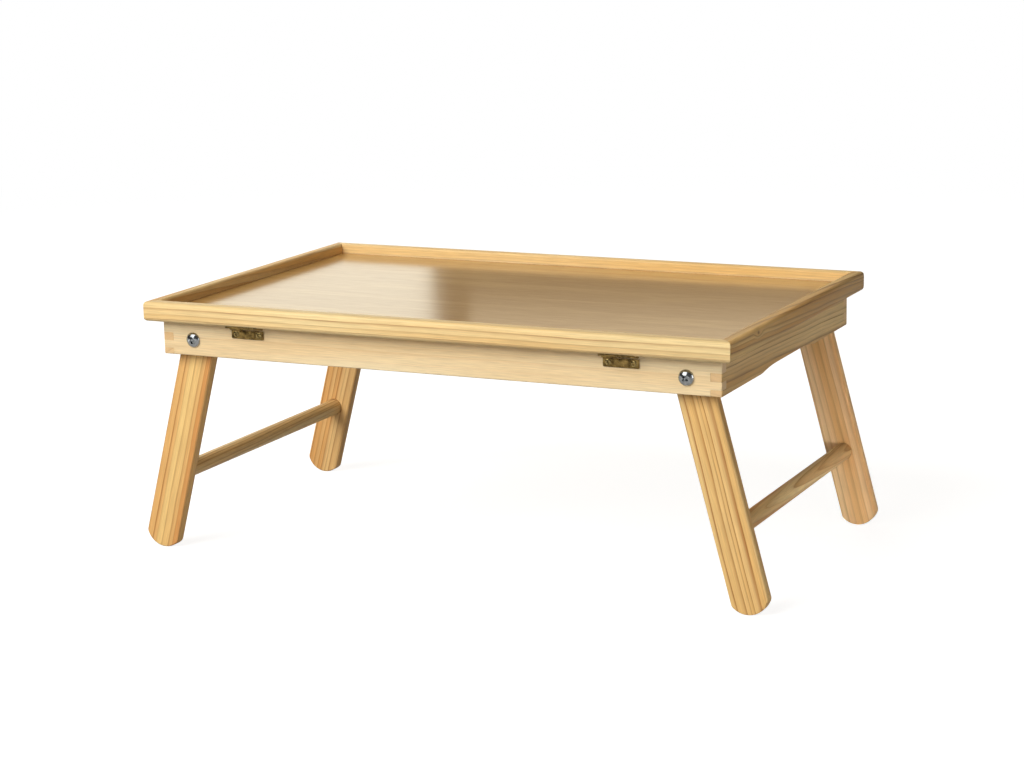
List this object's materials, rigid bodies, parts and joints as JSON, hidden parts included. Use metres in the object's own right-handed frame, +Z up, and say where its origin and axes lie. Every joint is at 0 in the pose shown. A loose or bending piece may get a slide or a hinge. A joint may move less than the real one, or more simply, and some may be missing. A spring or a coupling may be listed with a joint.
{
  "type": "bed tray table",
  "caption": "Folding pine bed tray table: a rimmed tray that tilts on two butt hinges above a finger-jointed frame with fold-up splayed legs.",
  "frame": {"origin": "on the floor under the middle of the tray, at the bottom centre of the bounding box, legs opened", "axes": "+X along the long side of the tray to the right as seen from the hinged edge, +Y from the hinged front edge to the back, +Z up"},
  "size_m": [0.5418, 0.32, 0.21],
  "materials": {
    "pine_rim": "clear satin varnish",
    "ply_panel": "clear satin varnish",
    "pine_rail": "clear satin varnish",
    "pine_leg": "clear satin varnish",
    "pine_stretcher": "clear satin varnish",
    "hinge_brass": "aged",
    "brass_screw": "aged",
    "zinc_steel": "bright zinc plate",
    "steel_wire": "zinc plate",
    "pine_rack": "sanded",
    "birch_peg": "sanded"
  },
  "bodies": {
    "frame": {"rail_front": "pine_rail", "rail_back": "pine_rail", "rail_left": "pine_rail", "rail_right": "pine_rail", "hinge_lower_leaf_left": "hinge_brass", "hinge_lower_leaf_right": "hinge_brass", "hinge_pin_left": "hinge_brass", "hinge_pin_right": "hinge_brass", "hinge_lower_screws": "brass_screw", "pivot_bolts": "zinc_steel", "pivot_washers": "zinc_steel", "pivot_nuts": "zinc_steel", "prop_pegs": "birch_peg"},
    "tray": {"rim_front": "pine_rim", "rim_back": "pine_rim", "rim_left": "pine_rim", "rim_right": "pine_rim", "tray_panel": "ply_panel", "hinge_upper_leaf_left": "hinge_brass", "hinge_upper_leaf_right": "hinge_brass", "hinge_upper_screws": "brass_screw", "prop_rack_left": "pine_rack", "prop_rack_right": "pine_rack"},
    "legs_left": {"leg_front_left": "pine_leg", "leg_back_left": "pine_leg", "stretcher_left": "pine_stretcher"},
    "legs_right": {"leg_front_right": "pine_leg", "leg_back_right": "pine_leg", "stretcher_right": "pine_stretcher"},
    "prop": {"prop_bail": "steel_wire"}
  },
  "joints": [
    {"name": "tray_tilt", "type": "hinge", "parent": "frame", "child": "tray", "pos_m": [0, -0.1501, 0.1919], "axis": [1, 0, 0], "range_deg": [0, 40]},
    {"name": "prop_swing", "type": "hinge", "parent": "frame", "child": "prop", "pos_m": [0, -0.02006, 0.1895], "axis": [1, 0, 0], "range_deg": [0, 80]},
    {"name": "left_legs_fold", "type": "hinge", "parent": "frame", "child": "legs_left", "pos_m": [-0.21117, 0, 0.179], "axis": [0, -1, 0], "range_deg": [0, 105]},
    {"name": "right_legs_fold", "type": "hinge", "parent": "frame", "child": "legs_right", "pos_m": [0.21117, 0, 0.179], "axis": [0, 1, 0], "range_deg": [0, 105]}
  ],
  "couplings": [
    {"joint": "prop_swing", "follows": "tray_tilt", "ratio": 2}
  ]
}
